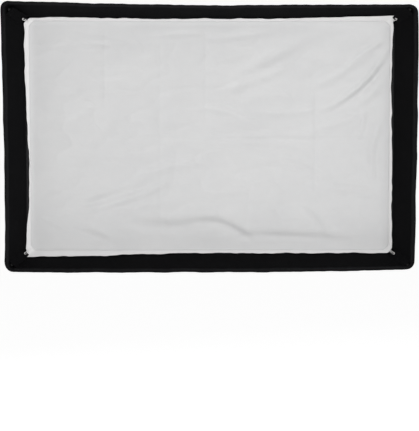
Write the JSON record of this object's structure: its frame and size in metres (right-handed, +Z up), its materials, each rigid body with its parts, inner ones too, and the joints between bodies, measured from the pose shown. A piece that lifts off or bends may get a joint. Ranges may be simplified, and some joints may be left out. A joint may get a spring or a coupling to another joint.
{
  "type": "softbox",
  "caption": "Rectangular fabric softbox with recessed white front diffuser, silver-lined black shell on sprung rods, rotating speed ring and tilting stand bracket.",
  "frame": {"origin": "centre of the stand socket's mouth, at the bottom of the bracket", "axes": "+Z up along the stand socket, -Y the way the lit face looks, +X to the right of a viewer who faces the diffuser"},
  "size_m": [0.9224, 0.518, 0.5972],
  "materials": {
    "black_nylon": "woven, water-repellent, slight sheen",
    "silver_lining": "metallised, pebbled, satin silver",
    "white_diffusion": "translucent white weave, matt",
    "white_tape": "napped white hook tape",
    "black_tape": "looped black pile",
    "binding": "ribbed bias tape",
    "piping": "corded piping",
    "patch": "coarse ballistic weave",
    "white_elastic": "braided elastic cord",
    "black_elastic": "braided elastic cord",
    "rod_fibre": "drawn glass-fibre rod, satin",
    "rod_tip": "moulded cap, matt",
    "ring_alloy": "die-cast, bead-blasted",
    "ring_black": "black powder coat",
    "steel": "plated steel",
    "screw_steel": "blackened steel",
    "knob_plastic": "moulded, fine spark texture",
    "nylon": "natural nylon",
    "brass": "turned",
    "bracket_alloy": "black textured powder coat"
  },
  "bodies": {
    "receiver": {"stand_receiver": "bracket_alloy", "friction_washers": "nylon", "pivot_bolt": "steel", "pivot_washer": "steel"},
    "tilt_head": {"tilt_arm": "bracket_alloy", "arm_bolts": "steel", "ring_housing": "ring_black", "retaining_ring": "ring_alloy", "retaining_screws": "screw_steel", "bayonet_insert": "steel", "insert_screws": "screw_steel"},
    "softbox": {"ring_plate": "ring_alloy", "rod_sockets": "ring_alloy", "socket_screws": "screw_steel", "rod_tips": "rod_tip", "lip_binding": "binding", "corner_piping": "piping", "corner_pockets": "patch", "rod_keepers": "patch", "loop_tapes": "black_tape", "loop_buttons": "knob_plastic", "rear_collar": "black_nylon", "collar_elastic": "black_elastic", "inner_baffle": "white_diffusion", "baffle_hem": "white_diffusion", "baffle_elastics": "white_elastic", "baffle_clips": "knob_plastic", "rod_top_left": "rod_fibre", "rod_top_right": "rod_fibre", "rod_bottom_left": "rod_fibre", "rod_bottom_right": "rod_fibre", "shell_top": "black_nylon", "shell_bottom": "black_nylon", "shell_left": "black_nylon", "shell_right": "black_nylon", "lining_top": "silver_lining", "lining_bottom": "silver_lining", "lining_left": "silver_lining", "lining_right": "silver_lining", "lip_top": "black_nylon", "lip_bottom": "black_nylon", "lip_left": "black_nylon", "lip_right": "black_nylon"},
    "front_cloth": {"front_diffuser": "white_diffusion", "diffuser_flange": "white_diffusion", "hook_tapes": "white_tape", "corner_loops": "white_elastic"},
    "stand_lock_tip": {"stand_lock_pad": "brass"},
    "stand_lock": {"stand_lock_screw": "steel", "stand_lock_knob": "knob_plastic"},
    "roll_lock_tip": {"roll_lock_tip": "brass"},
    "roll_lock": {"roll_lock_screw": "steel", "roll_lock_knob": "knob_plastic"},
    "clamp_nut": {"lever_insert": "brass", "lever_screw": "screw_steel", "lever_spring": "screw_steel"},
    "tilt_lever": {"tilt_lever": "knob_plastic"}
  },
  "joints": [
    {"name": "tilt", "type": "hinge", "parent": "receiver", "child": "tilt_head", "pos_m": [0, 0, 0.068], "axis": [1, 0, 0], "range_deg": [-90, 60]},
    {"name": "roll", "type": "hinge", "parent": "tilt_head", "child": "softbox", "pos_m": [0, -0.025, 0.203], "axis": [0, 1, 0], "continuous": true},
    {"name": "front_peel", "type": "slide", "parent": "softbox", "child": "front_cloth", "axis": [0, -1, 0], "range_m": [0, 0.25]},
    {"name": "stand_lock_travel", "type": "slide", "parent": "receiver", "child": "stand_lock_tip", "axis": [0, -1, 0], "range_m": [-0.006, 0.003]},
    {"name": "stand_lock_turn", "type": "hinge", "parent": "stand_lock_tip", "child": "stand_lock", "pos_m": [0, 0.03, 0.022], "axis": [0, -1, 0], "range_deg": [-1729, 865]},
    {"name": "roll_lock_travel", "type": "slide", "parent": "tilt_head", "child": "roll_lock_tip", "axis": [-1, 0, 0], "range_m": [-0.004, 0.00025]},
    {"name": "roll_lock_turn", "type": "hinge", "parent": "roll_lock_tip", "child": "roll_lock", "pos_m": [0.09, -0.012, 0.203], "axis": [-1, 0, 0], "range_deg": [-1441, 91]},
    {"name": "clamp_turn", "type": "hinge", "parent": "receiver", "child": "clamp_nut", "pos_m": [0.02, 0, 0.068], "axis": [1, 0, 0], "range_deg": [0, 120]},
    {"name": "lever_pull", "type": "slide", "parent": "clamp_nut", "child": "tilt_lever", "axis": [1, 0, 0], "range_m": [0, 0.005], "stiffness_N_per_m": 900, "springref_m": -0.002, "deforming": ["lever_spring"]}
  ],
  "couplings": [
    {"joint": "stand_lock_turn", "follows": "stand_lock_travel", "rad_per_m": 5026.5},
    {"joint": "roll_lock_turn", "follows": "roll_lock_travel", "rad_per_m": 6283.2}
  ]
}
